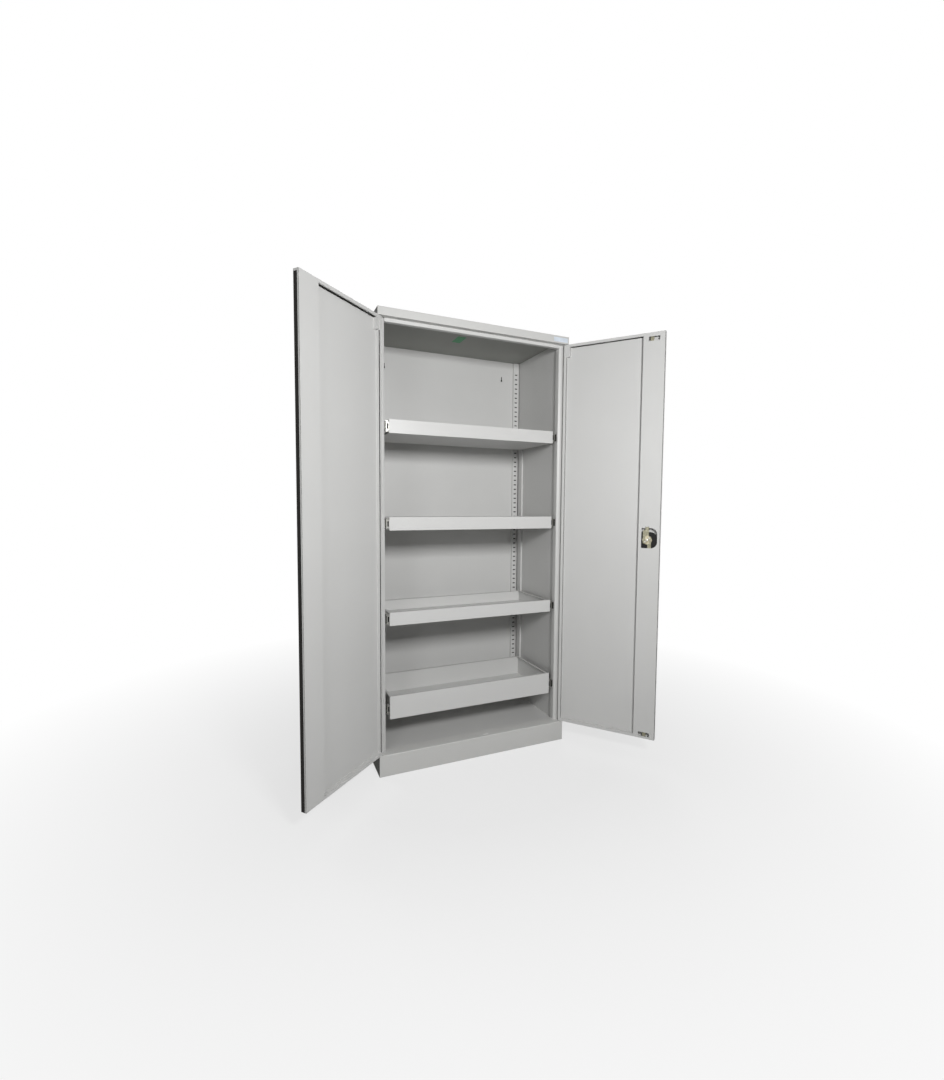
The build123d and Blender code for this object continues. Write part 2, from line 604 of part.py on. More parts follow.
def tray(bottom, front_height):
    """A folded tray: flat bottom, low walls with turned-in edges, and a taller front."""
    wall_top = bottom + front_height - 4
    body = block((-TRAY_HALF, TRAY_HALF), (TRAY_FRONT, TRAY_BACK), (bottom, wall_top))
    flange = TRAY_TOP_FLANGE
    room = block(
        (-TRAY_HALF + TRAY_SHEET, TRAY_HALF - TRAY_SHEET),
        (TRAY_FRONT + TRAY_SHEET, TRAY_BACK - TRAY_SHEET),
        (bottom + TRAY_SHEET, wall_top - TRAY_SHEET),
    )
    mouth = block(
        (-TRAY_HALF + flange, TRAY_HALF - flange),
        (TRAY_FRONT + TRAY_SHEET, TRAY_BACK - flange),
        (bottom + TRAY_SHEET, wall_top + 1),
    )
    body -= room
    body -= mouth
    lip = [
        (TRAY_FRONT + 9, bottom + front_height),
        (TRAY_FRONT, bottom + front_height),
        (TRAY_FRONT, bottom + front_height - 10),
    ]
    body += cross_sheet(lip, TRAY_HALF, TRAY_SHEET, bend=0)
    return body


carcass()
fixed_front()
uprights()
doors()
handle()
rod_gear()
trays()

os.makedirs("parts", exist_ok=True)
for name, shape in parts.items():
    export_step(shape, "parts/" + name + ".step")
print(len(parts), "sub-parts")
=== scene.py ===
"""Dresses a two-door safety cabinet: finishes, small fittings and a plain studio around it."""

import json
import math
from itertools import product

import bpy
from mathutils import Matrix, Vector

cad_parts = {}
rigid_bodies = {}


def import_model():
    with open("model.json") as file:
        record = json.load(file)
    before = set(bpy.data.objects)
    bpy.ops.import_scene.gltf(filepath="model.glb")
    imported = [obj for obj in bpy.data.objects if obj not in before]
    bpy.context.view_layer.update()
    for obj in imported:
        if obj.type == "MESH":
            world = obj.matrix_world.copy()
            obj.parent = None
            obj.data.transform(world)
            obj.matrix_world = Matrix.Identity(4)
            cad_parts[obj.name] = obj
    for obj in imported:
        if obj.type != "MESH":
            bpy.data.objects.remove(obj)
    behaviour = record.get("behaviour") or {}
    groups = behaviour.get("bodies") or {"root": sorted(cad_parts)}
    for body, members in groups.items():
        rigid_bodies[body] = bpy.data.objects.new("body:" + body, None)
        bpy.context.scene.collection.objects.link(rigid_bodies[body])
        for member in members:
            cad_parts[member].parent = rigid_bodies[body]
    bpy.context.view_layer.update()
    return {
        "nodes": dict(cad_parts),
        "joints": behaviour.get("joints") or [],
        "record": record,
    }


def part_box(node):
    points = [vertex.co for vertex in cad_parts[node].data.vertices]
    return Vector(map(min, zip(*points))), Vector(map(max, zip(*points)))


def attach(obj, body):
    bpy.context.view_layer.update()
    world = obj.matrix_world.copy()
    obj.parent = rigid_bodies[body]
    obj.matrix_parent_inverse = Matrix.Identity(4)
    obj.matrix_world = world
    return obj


bl_info = {
    "name": "Safety Cabinet Dressing",
    "version": (1, 0, 0),
    "blender": (4, 5, 0),
    "location": "View3D > Sidebar > Cabinet",
    "description": "Finishes the cabinet's steelwork, adds its small fittings and sets up a studio",
    "category": "Object",
}

for leftover in list(bpy.data.objects):
    bpy.data.objects.remove(leftover)
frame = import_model()

# Units, directions and names

MM = 0.001
UP = (0, 0, 1)
DOWN = (0, 0, -1)
TO_FRONT = (0, -1, 0)
TO_REAR = (0, 1, 0)
SIDES = {"left": -1, "right": 1}
TRAYS = ("tray_1", "tray_2", "tray_3", "tray_4")
JOINTS = {joint["name"]: joint for joint in frame["joints"]}

# Places in the shut doors, which the door fittings are measured from

FRONT = -232.5 * MM
DOOR_DEPTH = 22 * MM
DOOR_BOTTOM = 95 * MM
DOOR_TOP = 1914 * MM
RECESS_BOTTOM = 107 * MM
RECESS_TOP = 1902 * MM
RECESS_SIDE = 441.5 * MM
LOCK_X = 57 * MM
LOCK_Z = 1004.5 * MM
PIN_ORBIT = 12 * MM
PIN_ANGLE = 45


# Selecting and shaping

NEARLY_ALONG = 0.9
SMOOTH_ANGLE = 35


def work_on(piece):
    """Select one object only and make it active."""
    bpy.ops.object.select_all(action="DESELECT")
    piece.select_set(True)
    bpy.context.view_layer.objects.active = piece


def start_picking(piece, by_edge):
    """Make a piece active with nothing selected in its mesh, to pick edges or faces."""
    work_on(piece)
    bpy.context.tool_settings.mesh_select_mode = (False, by_edge, not by_edge)
    mesh = piece.data
    for things in (mesh.vertices, mesh.edges, mesh.polygons):
        things.foreach_set("select", [False] * len(things))


def pick_faces(piece, *directions):
    """Enter edit mode with only the faces selected that look in one of the directions."""
    start_picking(piece, by_edge=False)
    for face in piece.data.polygons:
        face.select = any(face.normal.dot(Vector(direction)) > NEARLY_ALONG for direction in directions)
    bpy.ops.object.mode_set(mode="EDIT")


def pick_edges(piece, axis):
    """Enter edit mode with only the edges selected that run along an axis."""
    start_picking(piece, by_edge=True)
    mesh = piece.data
    for edge in mesh.edges:
        first, second = (mesh.vertices[i].co for i in edge.vertices)
        run = second - first
        edge.select = abs(run[axis]) > NEARLY_ALONG * run.length
    bpy.ops.object.mode_set(mode="EDIT")


def done_editing():
    """Leave edit mode."""
    bpy.ops.object.mode_set(mode="OBJECT")


def bevel_all(piece, width, segments=2, angle=40):
    """Round the edges that are sharper than an angle, and shade the piece smooth."""
    work_on(piece)
    rounding = piece.modifiers.new("rounding", "BEVEL")
    rounding.width = width
    rounding.segments = segments
    rounding.limit_method = "ANGLE"
    rounding.angle_limit = math.radians(angle)
    bpy.ops.object.modifier_apply(modifier=rounding.name)
    bpy.ops.object.shade_smooth_by_angle(angle=math.radians(SMOOTH_ANGLE))


def new_block(name, low, high):
    """A block between two corners, as the start of a piece."""
    bpy.ops.object.select_all(action="DESELECT")
    centre = [(a + b) / 2 for a, b in zip(low, high)]
    bpy.ops.mesh.primitive_cube_add(size=1, location=centre)
    piece = bpy.context.object
    piece.name = name
    piece.scale = [abs(b - a) for a, b in zip(low, high)]
    bpy.ops.object.transform_apply(location=True, rotation=True, scale=True)
    return piece


def new_disc(name, radius, height, vertices):
    """A short round bar that stands on the origin, as the start of a piece."""
    bpy.ops.object.select_all(action="DESELECT")
    bpy.ops.mesh.primitive_cylinder_add(
        vertices=vertices, radius=radius, depth=height, location=(0, 0, height / 2)
    )
    piece = bpy.context.object
    piece.name = name
    bpy.ops.object.transform_apply(location=True, rotation=True, scale=True)
    return piece


def place_copy(pattern, name, matrix):
    """A copy of a pattern, put in place by a matrix that goes into the copy's own mesh."""
    work_on(pattern)
    bpy.ops.object.duplicate(linked=False)
    copy = bpy.context.object
    copy.name = name
    copy.matrix_world = matrix
    bpy.ops.object.transform_apply(location=True, rotation=True, scale=True)
    return copy


def join(pieces, name):
    """Join pieces into one object."""
    bpy.ops.object.select_all(action="DESELECT")
    for piece in pieces:
        piece.select_set(True)
    bpy.context.view_layer.objects.active = pieces[0]
    bpy.ops.object.join()
    pieces[0].name = name
    pieces[0].data.name = name
    return pieces[0]


def face_out(piece):
    """Merge doubles and turn every face outwards."""
    work_on(piece)
    bpy.ops.object.mode_set(mode="EDIT")
    bpy.ops.mesh.select_all(action="SELECT")
    bpy.ops.mesh.remove_doubles(threshold=0.001 * MM)
    bpy.ops.mesh.normals_make_consistent(inside=False)
    done_editing()


def remove(pattern):
    """Delete a pattern that has been copied."""
    bpy.data.objects.remove(pattern)


def mirrored(side, near, far):
    """A span of X from near to far on the side -1 or 1, in rising order."""
    return sorted((side * near, side * far))


def towards(direction):
    """Rotation that turns a piece's +Z towards a direction."""
    return Vector(direction).to_track_quat("Z", "Y").to_matrix().to_4x4()


def door_swing(side):
    """Matrix from a shut door's place to where the door stands."""
    joint = JOINTS[side + "_door_hinge"]
    pivot = Matrix.Translation(Vector(joint["pos_m"]))
    turn = -math.radians(joint["range_deg"][0]) * joint["axis"][2]
    return pivot @ Matrix.Rotation(turn, 4, "Z") @ pivot.inverted()


# Shader groups

POWDER_COAT = "Powder Coat"
PLATED_METAL = "Plated Metal"
MOULDED = "Moulded Surface"
SURFACE_OUTPUTS = (
    ("Colour", "NodeSocketColor"),
    ("Roughness", "NodeSocketFloat"),
    ("Height", "NodeSocketFloat"),
)
NOISE_LOW = 0.3
NOISE_HIGH = 0.7


def new_group(name, inputs):
    """An empty shader group with the given inputs and the outputs of a surface."""
    group = bpy.data.node_groups.new(name, "ShaderNodeTree")
    for label, kind, value in inputs:
        socket = group.interface.new_socket(name=label, in_out="INPUT", socket_type=kind)
        socket.default_value = value
    for label, kind in SURFACE_OUTPUTS:
        group.interface.new_socket(name=label, in_out="OUTPUT", socket_type=kind)
    return group, group.nodes.new("NodeGroupInput"), group.nodes.new("NodeGroupOutput")


def add_node(tree, kind, settings=None, values=None):
    """A node with its settings and unlinked values."""
    node = tree.nodes.new(kind)
    for key, value in (settings or {}).items():
        setattr(node, key, value)
    for key, value in (values or {}).items():
        node.inputs[key].default_value = value
    return node


def feed(tree, socket, value):
    """Set an input to a number, or link it if it gets an output."""
    if isinstance(value, (int, float)):
        socket.default_value = value
    else:
        tree.links.new(value, socket)


def noise_node(tree, scale, detail, stretch=None):
    """Noise on Object coordinates, stretched along the axes if asked."""
    place = tree.nodes.new("ShaderNodeTexCoord")
    noise = add_node(tree, "ShaderNodeTexNoise", values={"Detail": detail})
    feed(tree, noise.inputs["Scale"], scale)
    source = place.outputs["Object"]
    if stretch:
        mapping = add_node(tree, "ShaderNodeMapping", values={"Scale": stretch})
        tree.links.new(source, mapping.inputs["Vector"])
        source = mapping.outputs["Vector"]
    tree.links.new(source, noise.inputs["Vector"])
    return noise.outputs["Fac"]


def remap(tree, source, low, high, to_low, to_high):
    """Map the range from low to high onto another one, whose ends are numbers or outputs."""
    node = tree.nodes.new("ShaderNodeMapRange")
    tree.links.new(source, node.inputs["Value"])
    for key, value in (("From Min", low), ("From Max", high), ("To Min", to_low), ("To Max", to_high)):
        feed(tree, node.inputs[key], value)
    return node.outputs["Result"]


def noise_between(tree, lowest, highest, scale, detail):
    """Noise whose usual range is stretched to lie between two numbers."""
    return remap(tree, noise_node(tree, scale, detail), NOISE_LOW, NOISE_HIGH, lowest, highest)


def calculate(tree, operation, first, second=0.0):
    """A sum, product or other result of one or two numbers or outputs."""
    node = add_node(tree, "ShaderNodeMath", {"operation": operation})
    feed(tree, node.inputs[0], first)
    feed(tree, node.inputs[1], second)
    return node.outputs[0]


def shade(tree, colour, amount):
    """Multiply a colour by a value."""
    node = add_node(tree, "ShaderNodeVectorMath", {"operation": "SCALE"})
    tree.links.new(colour, node.inputs[0])
    tree.links.new(amount, node.inputs["Scale"])
    return node.outputs[0]


def powder_coat_group():
    """Baked powder coat: faint cloudiness, fine orange peel and uneven gloss.

    A strip at a distance to both sides of X = 0 can be darker: painted shade, for the shadow in the hollow
    behind a rail.
    """
    inputs = (
        ("Colour", "NodeSocketColor", (0.6, 0.6, 0.6, 1)),
        ("Cloudiness", "NodeSocketFloat", 0.04),
        ("Roughness", "NodeSocketFloat", 0.4),
        ("Peel Size", "NodeSocketFloat", 450.0),
        ("Strip Distance", "NodeSocketFloat", 0.0),
        ("Strip Half Width", "NodeSocketFloat", 0.0),
        ("Strip Shade", "NodeSocketFloat", 1.0),
    )
    group, given, result = new_group(POWDER_COAT, inputs)
    links = group.links
    cloud = calculate(group, "SUBTRACT", noise_node(group, scale=5.0, detail=3.0), 0.5)
    swing = calculate(group, "MULTIPLY", cloud, given.outputs["Cloudiness"])
    brightness = calculate(group, "ADD", swing, 1.0)
    speck = noise_between(group, 0.985, 1.015, scale=900.0, detail=1.0)
    mottle = calculate(group, "MULTIPLY", brightness, speck)
    # The tone takes in the painted shade of the strip behind the rails
    tone = calculate(group, "MULTIPLY", mottle, painted_shadow_strip(group, given))
    links.new(shade(group, given.outputs["Colour"], tone), result.inputs["Colour"])
    smear = noise_between(group, -0.015, 0.02, scale=14.0, detail=4.0)
    links.new(calculate(group, "ADD", given.outputs["Roughness"], smear), result.inputs["Roughness"])
    peel = noise_node(group, given.outputs["Peel Size"], detail=1.5)
    links.new(peel, result.inputs["Height"])


def painted_shadow_strip(group, given):
    """Painted shade for the shadow behind the rails: the strip's shade inside the strips and 1 elsewhere."""
    place = group.nodes.new("ShaderNodeTexCoord")
    split = group.nodes.new("ShaderNodeSeparateXYZ")
    group.links.new(place.outputs["Object"], split.inputs[0])
    distance = calculate(group, "ABSOLUTE", split.outputs["X"])
    off_middle = calculate(group, "SUBTRACT", distance, given.outputs["Strip Distance"])
    beyond = calculate(group, "ABSOLUTE", off_middle)
    inside_painted_shadow = calculate(group, "LESS_THAN", beyond, given.outputs["Strip Half Width"])
    return remap(group, inside_painted_shadow, 0.0, 1.0, 1.0, given.outputs["Strip Shade"])


def plated_metal_group():
    """Plated or polished metal: drawn streaks along Y and blotches of thinner plating."""
    inputs = (
        ("Colour", "NodeSocketColor", (0.6, 0.6, 0.5, 1)),
        ("Tarnish Colour", "NodeSocketColor", (0.4, 0.4, 0.3, 1)),
        ("Tarnish", "NodeSocketFloat", 0.5),
        ("Roughness", "NodeSocketFloat", 0.3),
    )
    group, given, result = new_group(PLATED_METAL, inputs)
    links = group.links
    blotch = remap(group, noise_node(group, scale=60.0, detail=4.0), 0.35, NOISE_HIGH, 0.0, 1.0)
    mix = add_node(group, "ShaderNodeMix", {"data_type": "RGBA"})
    links.new(calculate(group, "MULTIPLY", blotch, given.outputs["Tarnish"]), mix.inputs["Factor"])
    links.new(given.outputs["Colour"], mix.inputs["A"])
    links.new(given.outputs["Tarnish Colour"], mix.inputs["B"])
    streak = noise_node(group, scale=700.0, detail=2.0, stretch=(1.0, 0.03, 1.0))
    gleam = remap(group, streak, NOISE_LOW, NOISE_HIGH, 0.93, 1.07)
    links.new(shade(group, mix.outputs["Result"], gleam), result.inputs["Colour"])
    uneven = remap(group, streak, NOISE_LOW, NOISE_HIGH, -0.05, 0.08)
    links.new(calculate(group, "ADD", given.outputs["Roughness"], uneven), result.inputs["Roughness"])
    links.new(streak, result.inputs["Height"])


def moulded_group():
    """Moulded plastic, rubber or pressed board: even colour with a pebbled grain."""
    inputs = (
        ("Colour", "NodeSocketColor", (0.03, 0.03, 0.03, 1)),
        ("Roughness", "NodeSocketFloat", 0.5),
        ("Grain Size", "NodeSocketFloat", 1200.0),
    )
    group, given, result = new_group(MOULDED, inputs)
    links = group.links
    tone = noise_between(group, 0.93, 1.08, scale=35.0, detail=3.0)
    links.new(shade(group, given.outputs["Colour"], tone), result.inputs["Colour"])
    rub = noise_between(group, -0.06, 0.06, scale=80.0, detail=3.0)
    links.new(calculate(group, "ADD", given.outputs["Roughness"], rub), result.inputs["Roughness"])
    place = group.nodes.new("ShaderNodeTexCoord")
    grain = add_node(group, "ShaderNodeTexVoronoi", {"feature": "F1"})
    links.new(place.outputs["Object"], grain.inputs["Vector"])
    links.new(given.outputs["Grain Size"], grain.inputs["Scale"])
    links.new(grain.outputs["Distance"], result.inputs["Height"])


# Materials


def rgba(colour):
    """A colour property's value with full alpha."""
    return (colour[0], colour[1], colour[2], 1.0)


def finish_material(finish, group, values, relief, metallic=0.0, specular=0.5):
    """A material whose colour, roughness and relief come from a shared group.

    The relief is a pair: its strength, and its depth in metres.
    """
    material = bpy.data.materials.new("Finish " + finish)
    material.use_nodes = True
    tree = material.node_tree
    shader = tree.nodes["Principled BSDF"]
    shader.inputs["Metallic"].default_value = metallic
    shader.inputs["Specular IOR Level"].default_value = specular
    surface = add_node(tree, "ShaderNodeGroup", {"node_tree": bpy.data.node_groups[group]}, values)
    strength, depth = relief
    bump = add_node(tree, "ShaderNodeBump", values={"Strength": strength, "Distance": depth})
    tree.links.new(surface.outputs["Height"], bump.inputs["Height"])
    tree.links.new(surface.outputs["Colour"], shader.inputs["Base Color"])
    tree.links.new(surface.outputs["Roughness"], shader.inputs["Roughness"])
    tree.links.new(bump.outputs["Normal"], shader.inputs["Normal"])


def wear_finish(thing, finish):
    """Give a piece or a CAD node one of the finishes as its only material."""
    thing.data.materials.clear()
    thing.data.materials.append(bpy.data.materials["Finish " + finish])


def finish_piece(piece, body, finish):
    """Give a new piece its finish and the body that it moves with."""
    wear_finish(piece, finish)
    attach(piece, body)


# Settings


def colour_setting(name, description, default):
    """A colour that the user can change."""
    return bpy.props.FloatVectorProperty(
        name=name, description=description, subtype="COLOR", size=3, min=0, max=1, default=default
    )


def length_setting(name, description, default):
    """A length that the user can change."""
    return bpy.props.FloatProperty(
        name=name, description=description, default=default, min=0, unit="LENGTH", precision=4
    )


def power_setting(name, description, default):
    """A lamp's power that the user can change."""
    return bpy.props.FloatProperty(
        name=name, description=description, default=default, min=0, unit="POWER"
    )


class CABINET_finish_settings(bpy.types.PropertyGroup):
    """Colours of the cabinet's finishes"""

    inside: colour_setting("Inside", "Powder coat of liners, stiles, rails and posts", (0.58, 0.58, 0.57))
    front: colour_setting("Front", "Powder coat of doors, fascia and plinth", (0.59, 0.59, 0.575))
    tray: colour_setting("Trays", "Powder coat of the trays", (0.60, 0.60, 0.59))
    # The ceiling coat is darker than the other inner coats: painted shade, for the shade under the cabinet's
    # top
    ceiling: colour_setting("Ceiling", "Powder coat of the ceiling liner", (0.33, 0.335, 0.315))
    outside: colour_setting("Outside", "Textured powder coat of the outer skins", (0.014, 0.014, 0.012))
    board: colour_setting("Boards", "Pressed mineral board between the skins", (0.62, 0.58, 0.49))
    # The dark strip colour is the doors' edge strips' own black, and painted shade on the recess strips
    seal: colour_setting("Dark strips", "Strips on the doors' edges and recesses", (0.013, 0.012, 0.011))
    plastic: colour_setting("Black plastic", "Handle dish, grip and slide stops", (0.012, 0.012, 0.012))
    bush: colour_setting("Bushes", "Bearing plastic of the hinge bushes", (0.05, 0.05, 0.05))
    zinc: colour_setting("Zinc", "Plating of slides, pins and screws", (0.50, 0.50, 0.48))
    passivate: colour_setting("Passivated zinc", "Yellow plating of the cam", (0.46, 0.42, 0.31))
    nickel: colour_setting("Nickel", "Plating of the lock cylinder and the balls", (0.72, 0.71, 0.69))
    # The slide brackets' nearly black zinc is painted shade, for the dark gaps around the slide ends
    dark_zinc: colour_setting("Dark zinc", "Plating of the slide brackets", (0.05, 0.05, 0.045))
    rod: colour_setting("Olive zinc", "Plating of the lock rods and their guides", (0.26, 0.25, 0.19))
    plate: colour_setting("Blank plate", "Plain plate on the fascia", (0.66, 0.72, 0.79))
    patch: colour_setting("Ceiling patch", "Plain patch on the ceiling liner", (0.03, 0.30, 0.11))


class CABINET_fitting_settings(bpy.types.PropertyGroup):
    """Sizes of the small fittings"""

    ball: length_setting("Ball", "Diameter of the balls in the slides", 2.9 * MM)
    ball_pitch: length_setting("Ball pitch", "Distance between two balls", 13.0 * MM)
    slide_screw: length_setting("Slide screw", "Radius of a slide screw's head", 2.108 * MM)
    cam_screw: length_setting("Cam screw", "Radius of the cam screw's head", 5.4 * MM)
    plate_width: length_setting("Plate width", "Width of the blank plate on the fascia", 76 * MM)
    plate_height: length_setting("Plate height", "Height of the blank plate on the fascia", 20 * MM)
    patch_width: length_setting("Patch width", "Width of the patch on the ceiling", 42 * MM)
    patch_depth: length_setting("Patch depth", "Depth of the patch on the ceiling", 86 * MM)


class CABINET_stage_settings(bpy.types.PropertyGroup):
    """Lamps and floor of the studio"""

    key: power_setting("Key lamp", "Power of the soft lamp above the camera", 43)
    fill: power_setting("Fill lamp", "Power of the lamp at the front left", 9)
    rear: power_setting("Rear lamps", "Power of each lamp behind the cabinet", 45)
    ambient: bpy.props.FloatProperty(
        name="Ambient", description="Strength of the even light all round", default=0.02, min=0
    )
    floor: colour_setting("Floor", "Colour of the floor", (0.50, 0.50, 0.50))


# Finishes

# Parts whose finish isn't the one of their record slot
OWN_FINISH = {
    "back_liner": "back_liner",
    "ceiling_liner": "ceiling",
    # The slide brackets get the nearly black zinc of painted shade
    "slide_brackets": "dark_zinc",
    "upper_rod": "rod",
    "lower_rod": "rod",
    "rod_guides": "rod",
}
# Painted shade on the back liner's coat behind the slotted rails, for the shadow in the hollow of each rail
RAIL_PAINTED_SHADOW = {"Strip Distance": 409 * MM, "Strip Half Width": 14 * MM, "Strip Shade": 0.04}


class CABINET_OT_finishes(bpy.types.Operator):
    """Make the finishes and put them on the steelwork"""

    bl_idname = "cabinet.finishes"
    bl_label = "Finishes"

    def execute(self, context):
        colours = context.scene.cabinet_finish
        self.make_coats(colours)
        self.make_platings(colours)
        self.make_mouldings(colours)
        for part in frame["record"]["subparts"]:
            node = frame["nodes"][part["node"]]
            wear_finish(node, OWN_FINISH.get(part["node"], part["material_slot"]))
        return {"FINISHED"}

    def make_coats(self, colours):
        """Powder coats, from the inside to the textured outer skins."""
        powder_coat_group()
        self.coat("inner_steel", colours.inside, roughness=0.38, specular=0.45)
        self.coat("front_steel", colours.front, roughness=0.48, specular=0.35)
        self.coat("tray_steel", colours.tray, roughness=0.36, specular=0.3)
        # Darker coat on the ceiling liner: painted shade
        self.coat("ceiling", colours.ceiling, roughness=0.5, specular=0.2)
        # The back liner's coat is darker behind the rails: painted shade
        self.coat("back_liner", colours.inside, roughness=0.42, specular=0.3, painted_shadow_values=RAIL_PAINTED_SHADOW)
        values = {"Colour": rgba(colours.outside), "Cloudiness": 0.06, "Roughness": 0.62, "Peel Size": 900.0}
        finish_material("outer_steel", POWDER_COAT, values, relief=(0.35, 0.6 * MM), specular=0.15)

    def coat(self, finish, colour, roughness, specular, painted_shadow_values=None):
        """A light, fine coat, with a strip of painted shade if asked."""
        values = {"Colour": rgba(colour), "Cloudiness": 0.05, "Roughness": roughness, "Peel Size": 420.0}
        values.update(painted_shadow_values or {})
        finish_material(finish, POWDER_COAT, values, relief=(0.10, 0.4 * MM), specular=specular)

    def make_platings(self, colours):
        """Zinc in four tones and the nickel of the lock cylinder."""
        plated_metal_group()
        self.plate("zinc", colours.zinc, 0.34, tarnish=0.5, tarnished=(0.34, 0.33, 0.28))
        # Nearly black zinc: painted shade on the slide brackets
        self.plate("dark_zinc", colours.dark_zinc, 0.45, tarnish=0.6, tarnished=(0.02, 0.02, 0.018))
        self.plate("rod", colours.rod, 0.40, tarnish=0.6, tarnished=(0.12, 0.11, 0.06))
        self.plate("brass", colours.passivate, 0.36, tarnish=0.8, tarnished=(0.22, 0.20, 0.13))
        self.plate("chrome", colours.nickel, 0.18, tarnish=0.3, tarnished=(0.55, 0.54, 0.52))

    def plate(self, finish, colour, roughness, tarnish, tarnished):
        """A plated metal with its tarnish's share and colour."""
        values = {
            "Colour": rgba(colour),
            "Tarnish Colour": rgba(tarnished),
            "Tarnish": tarnish,
            "Roughness": roughness,
        }
        finish_material(finish, PLATED_METAL, values, relief=(0.12, 0.1 * MM), metallic=1.0)

    def make_mouldings(self, colours):
        """Board, strips, black plastic and bearing plastic."""
        moulded_group()
        self.mould("board", colours.board, 0.85, grain=260.0, relief=(0.5, 1.0 * MM))
        self.mould("seal", colours.seal, 0.65, grain=900.0, relief=(0.3, 0.3 * MM))
        self.mould("black_plastic", colours.plastic, 0.42, grain=1500.0, relief=(0.25, 0.2 * MM))
        self.mould("bush_plastic", colours.bush, 0.5, grain=1500.0, relief=(0.15, 0.2 * MM))

    def mould(self, finish, colour, roughness, grain, relief):
        """A moulded or pressed surface."""
        values = {"Colour": rgba(colour), "Roughness": roughness, "Grain Size": grain}
        finish_material(finish, MOULDED, values, relief, specular=0.15)


# Screws


def pan_head_screw(radius):
    """A cross-recessed pan head that stands on the origin and points up."""
    height = 0.55 * radius
    head = new_disc("pan_head", radius, height, vertices=20)
    pick_faces(head, UP)
    bpy.ops.mesh.inset(thickness=0.3 * radius, depth=0.12 * radius)
    done_editing()
    bevel_all(head, 0.12 * radius, angle=30)
    reach = 0.62 * radius
    half_slot = 0.11 * radius
    slot_floor = height - 0.2 * radius - 0.01 * MM
    blade = new_block("blade", (-reach, -half_slot, slot_floor), (reach, half_slot, radius))
    crossed = place_copy(blade, "crossed", Matrix.Rotation(math.radians(90), 4, "Z"))
    for cutter in (blade, crossed):
        work_on(head)
        recess = head.modifiers.new("recess", "BOOLEAN")
        recess.operation = "DIFFERENCE"
        recess.solver = "EXACT"
        recess.object = cutter
        bpy.ops.object.modifier_apply(modifier=recess.name)
        remove(cutter)
    face_out(head)
    return head


# Slide fittings, whose places across are measured from the side of the tray

# Balls and cages run between the members at two distances from the slide's middle height
OUTER_BALLS_RISE = 19.8 * MM
INNER_BALLS_RISE = 15.6 * MM
OUTER_BALLS_RUN = (-2 * MM, 118 * MM)
INNER_BALLS_RUN = (-184 * MM, -64 * MM)
BALLS_ACROSS = 6.2 * MM
CAGE_HALF_WIDTH = 2.3 * MM
CAGE_HALF_HEIGHT = 0.3 * MM

# Stops close the front ends of the inner members
STOP_ACROSS = (1.3 * MM, 6.6 * MM)
STOP_BEHIND_FRONT = (0.4 * MM, 13 * MM)
STOP_HALF_HEIGHT = 11 * MM

# Buffers close the rear ends of the outer members
BUFFER_ACROSS = (4.6 * MM, 11.3 * MM)
BUFFER_BEFORE_REAR = (9 * MM, 0.5 * MM)
BUFFER_HALF_HEIGHT = 17 * MM

# Screws hold the inner members to the tray
SCREW_ACROSS = 1.2 * MM
SCREWS_BEHIND_FRONT = (28 * MM, 150 * MM)
SCREW_BEFORE_REAR = 20 * MM


def hollow_plug(low, high, rim, hollow, rounding):
    """A plastic block with a hollow in its front face."""
    plug = new_block("plug", low, high)
    pick_faces(plug, TO_FRONT)
    bpy.ops.mesh.inset(thickness=rim)
    bpy.ops.mesh.extrude_region_move(TRANSFORM_OT_translate={"value": (0, hollow, 0)})
    done_editing()
    bevel_all(plug, rounding)
    return plug


